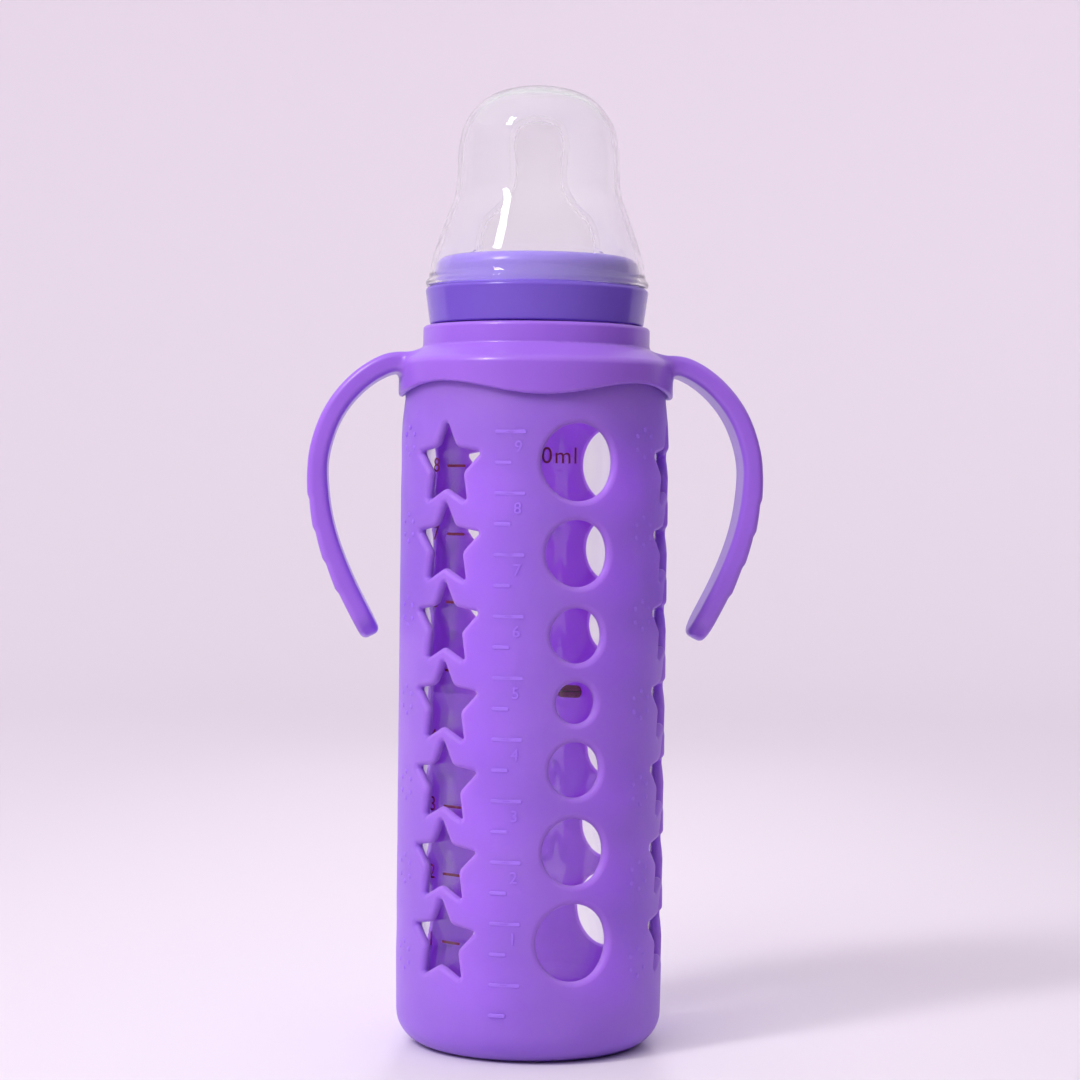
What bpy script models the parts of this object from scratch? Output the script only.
"""Baby feeding bottle with two handles: glass bottle, silicone sleeve, handle ring, screw collar,
teat and clear cap.

Run with:  blender --background --python part.py

Millimetres below are turned into Blender's metres by MM. The bottle stands on z = 0 with its axis on
the Z axis, and the two handles lie along X. The front of the bottle faces -Y.
"""

import math

import bmesh
import bpy
from mathutils import Matrix, Vector

MM = 0.001
GAP = 0.3                    # running clearance between two pieces

# --- driving dimensions, in millimetres -------------------------------------------------------
SEGMENTS = 40                # facets round every turned piece

SLEEVE_R = 30.6              # outer radius of the silicone sleeve
SLEEVE_WALL = 2.2
SLEEVE_BASE = 2.6            # thickness of the sleeve's floor
SLEEVE_TOP = 153.4
SLEEVE_CORNER = 7.5          # radius round the sleeve's foot
DRAIN_R = 10.0               # hole in the sleeve's floor

WINDOW_ROWS = 7
WINDOW_COLUMNS = 3           # columns of stars, and of round windows, evenly round the sleeve
STAR_AZIMUTH = -43.5         # degrees from the front (-Y), positive towards +X
STAR_R = 9.4                 # centre to point
STAR_WAIST = 0.53            # inner corner radius as a share of STAR_R
STAR_BOTTOM, STAR_PITCH = 26.3, 17.62
ROUND_AZIMUTH = 16.0
ROUND_MIDDLE_Z = 80.1        # height of the smallest round window
ROUND_STEPS = (14.75, 18.1, 20.05)    # spacing of the round windows, from the middle outwards
ROUND_RADII = (4.6, 6.1, 7.4, 8.6)    # middle one first

GLASS_R = SLEEVE_R - SLEEVE_WALL - GAP
GLASS_WALL = 2.7
GLASS_FLOOR = 5.0
SHOULDER_Z = 146.0           # where the straight glass wall ends
NECK_R = 20.5                # outside of the neck, between the threads
NECK_BORE_R = 17.8
MOUTH_Z = 175.5

THREAD_PITCH = 4.2
THREAD_HEIGHT = 1.4
THREAD_START_Z = 168.4
THREAD_TURNS = 1.2

RING_R = 31.5                # outside of the handle ring's skirt
RING_WALL = 1.3
RING_HOLE_R = 22.0
RING_LOW_Z = 147.8           # lowest point of the skirt's wavy edge
RING_WAVE = 2.9              # height of the waves, four round the ring
RING_NECK_R = 26.0
RING_SHOULDER_Z = 155.8
RING_NECK_Z = 159.3
RING_TOP_Z = 164.1

HANDLE_WIDTH = 17.0          # along Y
HANDLE_THICK = 4.5           # across the strap, in the XZ plane
HANDLE_END_WIDTH = 14.0
HANDLE_TIP_ROUND = 6.0       # the strap ends in a tongue with corners of this radius
HANDLE_TIP_STEPS = (6.0, 4.0, 2.2, 0.9, 0.15)    # distances from the tip of its sections
# centre line of the +X handle as (x, z), from inside the ring to the tip
HANDLE_LINE = ((27.6, 155.6), (34.2, 155.0), (41.0, 150.6), (46.4, 143.6), (49.4, 134.6),
               (49.4, 126.0), (47.6, 116.5), (43.6, 106.0), (37.0, 93.0))

COLLAR_TOP_R, COLLAR_LOW_R = 25.8, 24.5   # outside of the grip band, at its top and bottom
COLLAR_LOW_Z = RING_TOP_Z + GAP
COLLAR_BAND_Z = 173.0        # top of the grip band, where the cap's rim rests
COLLAR_TIER_R = 23.3
COLLAR_TOP_Z = 179.8
COLLAR_BORE_R = 22.4
COLLAR_HOLE_R = 14.6
COLLAR_PLATE = 2.0

TEAT_FLANGE_R = 19.4
TEAT_BASE_R = COLLAR_HOLE_R - GAP
TEAT_WALL = 1.5
TEAT_TIP_Z = 212.6
FEED_HOLE_R = 0.5

CAP_RIM_Z = COLLAR_BAND_Z + GAP
CAP_TOP_Z = 219.2
CAP_WALL = 1.2


# --- modelling helpers ------------------------------------------------------------------------
def clear_scene():
    for thing in list(bpy.data.objects):
        bpy.data.objects.remove(thing)


def material(name, colour, roughness, alpha=1.0, transmission=0.0):
    made = bpy.data.materials.new(name)
    made.use_nodes = True
    shader = made.node_tree.nodes["Principled BSDF"]
    shader.inputs["Base Color"].default_value = (*colour, 1.0)
    shader.inputs["Roughness"].default_value = roughness
    shader.inputs["Metallic"].default_value = 0.0
    shader.inputs["Alpha"].default_value = alpha
    shader.inputs["Transmission Weight"].default_value = transmission
    return made


def link(name, mesh, finish):
    mesh.materials.append(finish)
    thing = bpy.data.objects.new(name, mesh)
    bpy.context.scene.collection.objects.link(thing)
    return thing


def rounded(corners):
    """(r, z, fillet radius) corners as a list of (r, z) points, each fillet an arc."""
    points = []
    count = len(corners)
    for i, (r, z, fillet) in enumerate(corners):
        here = Vector((r, z))
        before = Vector(corners[i - 1][:2])
        after = Vector(corners[(i + 1) % count][:2])
        if fillet == 0:
            points.append(here)
            continue
        into, out = (before - here).normalized(), (after - here).normalized()
        half = into.angle(out) / 2
        middle = here + (into + out).normalized() * (fillet / math.sin(half))
        start = here + into * (fillet / math.tan(half)) - middle
        turn = start.angle_signed(here + out * (fillet / math.tan(half)) - middle)
        steps = max(1, round(math.sqrt(fillet)))
        for k in range(steps + 1):
            angle = -turn * k / steps
            points.append(middle + Matrix.Rotation(angle, 2) @ start)
    return points


def smooth(points, steps=4):
    """A Catmull-Rom curve through the points, ends included."""
    line = [Vector(p) for p in points]
    line = [2 * line[0] - line[1], *line, 2 * line[-1] - line[-2]]
    made = []
    for a, b, c, d in zip(line, line[1:], line[2:], line[3:]):
        for k in range(steps):
            t = k / steps
            made.append(0.5 * (2 * b + (c - a) * t + (2 * a - 5 * b + 4 * c - d) * t ** 2
                               + (3 * b - a - 3 * c + d) * t ** 3))
    return [*made, line[-2]]


def inset(line, wall):
    """The line moved to its left by wall, as the inner face of a moulded shell."""
    made = []
    for i, here in enumerate(line):
        along = (line[min(i + 1, len(line) - 1)] - line[max(i - 1, 0)]).normalized()
        made.append(here + Vector((-along.y, along.x)) * wall)
    return made


def turned(profile):
    """A mesh: the closed (r, z) profile spun once round the Z axis."""
    shape = bmesh.new()
    ring = [shape.verts.new((r * MM, 0, z * MM)) for r, z in profile]
    edges = [shape.edges.new((a, b)) for a, b in zip(ring, ring[1:] + ring[:1])]
    bmesh.ops.spin(shape, geom=ring + edges, axis=(0, 0, 1), cent=(0, 0, 0), angle=2 * math.pi,
                   steps=SEGMENTS, use_merge=True)
    bmesh.ops.remove_doubles(shape, verts=shape.verts, dist=0.01 * MM)
    bmesh.ops.dissolve_degenerate(shape, edges=shape.edges, dist=0.001 * MM)
    return finished(shape)


def finished(shape):
    """The bmesh as a closed mesh, facing out and shaded smooth."""
    bmesh.ops.recalc_face_normals(shape, faces=shape.faces)
    mesh = bpy.data.meshes.new("shape")
    shape.to_mesh(mesh)
    shape.free()
    mesh.shade_smooth()
    mesh.set_sharp_from_angle(angle=math.radians(35))
    return mesh


def skin(shape, sections):
    """Closes a tube in shape over loops of equal length, with an end face on each end."""
    loops = [[shape.verts.new(p) for p in section] for section in sections]
    for a, b in zip(loops, loops[1:]):
        for i in range(len(a)):
            j = (i + 1) % len(a)
            shape.faces.new((a[i], a[j], b[j], b[i]))
    shape.faces.new(loops[0])
    shape.faces.new(loops[-1])


def helper(name, mesh):
    """A guide or a cutter: in the scene, but no part of the bottle."""
    thing = bpy.data.objects.new(name, mesh)
    bpy.context.scene.collection.objects.link(thing)
    thing.hide_render = True
    thing.display_type = "WIRE"
    return thing


def boolean(thing, operation, other):
    step = thing.modifiers.new(operation.title(), "BOOLEAN")
    step.operation = operation
    step.object = other


def thread(name, root_r, crest_r, start_z):
    """A trapezoid thread that starts facing -Y and rises by THREAD_PITCH a turn."""
    shape = bmesh.new()
    steps = round(THREAD_TURNS * SEGMENTS)
    root, crest = 1.7 / 2, 0.9 / 2
    buried = root_r + (0.35 if crest_r < root_r else -0.35)
    sections = []
    for i in range(steps + 1):
        turn = 2 * math.pi * i / SEGMENTS
        z = start_z + THREAD_PITCH * i / SEGMENTS
        rise = min(1.0, 0.15 + min(i, steps - i) / 4)
        tip = root_r + (crest_r - root_r) * rise
        out = Vector((math.sin(turn), -math.cos(turn), 0))
        section = ((buried, -root), (tip, -crest), (tip, crest), (buried, root))
        sections.append([(out * r + Vector((0, 0, z + dz))) * MM for r, dz in section])
    skin(shape, sections)
    return helper(name, finished(shape))


# --- the pieces -------------------------------------------------------------------------------
def glass_bottle():
    floor_z = SLEEVE_BASE + GAP
    inner_r = GLASS_R - GLASS_WALL
    outside = [(0, floor_z + 1.2, 0), (17, floor_z, 3), (GLASS_R, floor_z, 5.5),
               (GLASS_R, SHOULDER_Z + 7.2, 10), (NECK_R, SHOULDER_Z + 11.2, 2.5),
               (NECK_R, 160.4, 0), (21.5, 161.0, 0.3), (21.5, 162.0, 0.3), (NECK_R, 162.6, 0),
               (NECK_R, MOUTH_Z, 0.9), (NECK_BORE_R, MOUTH_Z, 0.9)]
    inside = [(NECK_BORE_R, SHOULDER_Z + 10.4, 3), (inner_r, SHOULDER_Z + 6.4, 8),
              (inner_r, floor_z + GLASS_FLOOR, 5), (0, floor_z + GLASS_FLOOR + 1.0, 0)]
    thing = link("glass_bottle", turned(rounded(outside + inside)),
                 material("clear_glass", (0.95, 0.97, 0.97), 0.03, 0.35, 1.0))
    boolean(thing, "UNION", thread("neck_thread", NECK_R, NECK_R + THREAD_HEIGHT, THREAD_START_Z))


def star_outline():
    points = []
    for k in range(10):
        angle = math.radians(36 * k)
        r = STAR_R if k % 2 == 0 else STAR_R * STAR_WAIST
        points.append((r * math.sin(angle), r * math.cos(angle)))
    return points


def round_outline(radius, sides=20):
    return [(radius * math.sin(2 * math.pi * k / sides), radius * math.cos(2 * math.pi * k / sides))
            for k in range(sides)]


def round_windows():
    """(height, radius) of the round windows, from the middle one outwards."""
    made = [(ROUND_MIDDLE_Z, ROUND_RADII[0])]
    for side in (-1, 1):
        z = ROUND_MIDDLE_Z
        for step, radius in zip(ROUND_STEPS, ROUND_RADII[1:]):
            z += side * step
            made.append((z, radius))
    return made


def window_cutters():
    """One mesh of separate prisms that point at the axis, one for each window."""
    shape = bmesh.new()
    windows = [(STAR_AZIMUTH, STAR_BOTTOM + STAR_PITCH * row, star_outline())
               for row in range(WINDOW_ROWS)]
    windows += [(ROUND_AZIMUTH, z, round_outline(radius)) for z, radius in round_windows()]
    for column in range(WINDOW_COLUMNS):
        for azimuth, z, outline in windows:
            turn = Matrix.Rotation(math.radians(azimuth + 360 * column / WINDOW_COLUMNS), 3, "Z")
            sections = [[turn @ Vector((x, -depth, z + up)) * MM for x, up in outline]
                        for depth in (GLASS_R - 4, SLEEVE_R + 3)]
            skin(shape, sections)
    return helper("window_cutters", finished(shape))


def silicone_sleeve():
    inner_r = SLEEVE_R - SLEEVE_WALL
    lip_r = RING_R - RING_WALL - GAP
    profile = [(DRAIN_R, 0, 0), (SLEEVE_R - 0.3, 0, SLEEVE_CORNER), (SLEEVE_R, 20, 0),
               (SLEEVE_R + 0.1, 137, 0), (SLEEVE_R - 0.1, 142, 0), (lip_r, 147.4, 0),
               (lip_r, SLEEVE_TOP, 0), (inner_r, SLEEVE_TOP, 0), (inner_r, SLEEVE_BASE, 5.5),
               (DRAIN_R, SLEEVE_BASE, 0)]
    thing = link("silicone_sleeve", turned(rounded(profile)),
                 material("violet_silicone", (0.25, 0.10, 0.62), 0.5))
    boolean(thing, "DIFFERENCE", window_cutters())


def handle_strap(side):
    """One curved strap, as a helper that the ring is joined to."""
    shape = bmesh.new()
    line = smooth([Vector(p) for p in HANDLE_LINE], steps=3)
    tip, back = line[-1], (line[-2] - line[-1]).normalized()
    body = line[:-2]
    line = body + [tip + back * step for step in HANDLE_TIP_STEPS]
    sections = []
    for i, here in enumerate(line):
        along = (line[min(i + 1, len(line) - 1)] - line[max(i - 1, 0)]).normalized()
        across = Vector((-along.y, along.x))
        share = min(1.0, i / len(body))
        half = (HANDLE_WIDTH + (HANDLE_END_WIDTH - HANDLE_WIDTH) * share) / 2
        if i >= len(body):
            run = HANDLE_TIP_ROUND - HANDLE_TIP_STEPS[i - len(body)]
            half -= HANDLE_TIP_ROUND - math.sqrt(HANDLE_TIP_ROUND ** 2 - run ** 2)
        section = []
        for y, t in rounded([(half, HANDLE_THICK / 2, 1.6), (-half, HANDLE_THICK / 2, 1.6),
                             (-half, -HANDLE_THICK / 2, 1.6), (half, -HANDLE_THICK / 2, 1.6)]):
            flat = here + across * t
            section.append(Vector((flat.x * side, y, flat.y)) * MM)
        sections.append(section)
    skin(shape, sections)
    return helper("handle_strap", finished(shape))


def handle_ring():
    bore_r = RING_R - RING_WALL
    profile = rounded([
        (RING_R, RING_LOW_Z, 0.5), (RING_R, RING_SHOULDER_Z, 1.5), (RING_NECK_R, RING_NECK_Z, 0.6),
        (RING_NECK_R, RING_TOP_Z, 0.7), (RING_HOLE_R, RING_TOP_Z, 0.4), (RING_HOLE_R, 157.4, 0.6),
        (bore_r, 154.0, 0.6), (bore_r, RING_LOW_Z, 0.5)])
    mesh = turned(profile)
    for vertex in mesh.vertices:
        if vertex.co.z < (RING_LOW_Z + 1.0) * MM:
            turn = math.atan2(vertex.co.y, vertex.co.x)
            vertex.co.z += RING_WAVE / 2 * (1 - math.cos(4 * turn)) * MM
    thing = link("handle_ring", mesh, material("violet_plastic", (0.26, 0.09, 0.64), 0.3))
    core = helper("ring_bore", turned([(0.0, 140), (bore_r - 0.01, 140), (bore_r - 0.01, 154.0),
                                       (RING_HOLE_R, 157.4), (RING_HOLE_R, 170), (0.0, 170)]))
    for side in (-1, 1):
        strap = handle_strap(side)
        boolean(strap, "DIFFERENCE", core)
        boolean(thing, "UNION", strap)


def screw_collar():
    plate_z, upper_bore_r = COLLAR_TOP_Z - COLLAR_PLATE, COLLAR_BORE_R - 0.9
    profile = [(COLLAR_LOW_R, COLLAR_LOW_Z, 0.6), (COLLAR_TOP_R, COLLAR_BAND_Z, 0.7),
               (COLLAR_TIER_R, COLLAR_BAND_Z, 0.2), (COLLAR_TIER_R, COLLAR_TOP_Z, 2.6),
               (COLLAR_HOLE_R, COLLAR_TOP_Z, 0.5), (COLLAR_HOLE_R, plate_z, 0.3),
               (upper_bore_r, plate_z, 0.8), (upper_bore_r, COLLAR_BAND_Z + 3.0, 0),
               (COLLAR_BORE_R, COLLAR_BAND_Z + 2.0, 0), (COLLAR_BORE_R, COLLAR_LOW_Z, 0.4)]
    thing = link("screw_collar", turned(rounded(profile)),
                 material("blue_violet_plastic", (0.15, 0.06, 0.52), 0.2))
    boolean(thing, "UNION", thread("collar_thread", COLLAR_BORE_R, COLLAR_BORE_R - THREAD_HEIGHT,
                                   THREAD_START_Z - THREAD_PITCH / 2))


def teat():
    dome = smooth([(TEAT_BASE_R + 0.1, 182.2), (TEAT_BASE_R - 0.3, 185.2), (12.2, 189.4),
                   (8.6, 193.0), (6.7, 197.0), (6.6, 202.0), (7.0, 206.4), (5.6, 210.8),
                   (2.6, TEAT_TIP_Z - 0.2), (FEED_HOLE_R, TEAT_TIP_Z)], steps=1)
    hollow = inset(dome, TEAT_WALL)
    hollow = [p for p in hollow if p.x > FEED_HOLE_R]
    hollow.append(Vector((FEED_HOLE_R, TEAT_TIP_Z - TEAT_WALL)))
    flange_z = MOUTH_Z + GAP
    foot = [(12.4, flange_z - 0.9), (17.2, flange_z - 0.9), (17.2, flange_z),
            (TEAT_FLANGE_R, flange_z), (TEAT_FLANGE_R, COLLAR_TOP_Z - COLLAR_PLATE - GAP),
            (TEAT_BASE_R, COLLAR_TOP_Z - COLLAR_PLATE - GAP), (TEAT_BASE_R, COLLAR_TOP_Z + GAP),
            (TEAT_BASE_R + 1.1, COLLAR_TOP_Z + GAP), (TEAT_BASE_R + 1.0, COLLAR_TOP_Z + 1.4)]
    profile = [Vector(p) for p in foot] + dome + hollow[::-1]
    link("teat", turned(profile), material("clear_silicone", (0.93, 0.92, 0.90), 0.25, 0.5, 1.0))


def clear_cap():
    dome = [Vector(p) for p in ((25.4, CAP_RIM_Z), (25.6, CAP_RIM_Z + 0.8), (25.0, 174.9))]
    dome += smooth([(24.75, 176.2), (24.2, 179.2), (23.1, 183.0), (20.9, 189.2), (19.2, 194.0),
                    (18.6, 199.0), (18.3, 205.0), (16.9, 210.8), (12.8, 215.9), (7.0, 218.5),
                    (0.0, CAP_TOP_Z)], steps=1)
    hollow = inset(dome[3:], CAP_WALL)
    hollow[-1] = Vector((0.0, CAP_TOP_Z - CAP_WALL))
    mouth = [Vector((COLLAR_TIER_R + GAP, 175.6)), Vector((COLLAR_TIER_R + GAP, CAP_RIM_Z))]
    link("clear_cap", turned(dome + hollow[::-1] + mouth),
         material("clear_plastic", (0.95, 0.94, 0.96), 0.05, 0.25, 1.0))


def main():
    clear_scene()
    glass_bottle()
    silicone_sleeve()
    handle_ring()
    screw_collar()
    teat()
    clear_cap()


main()
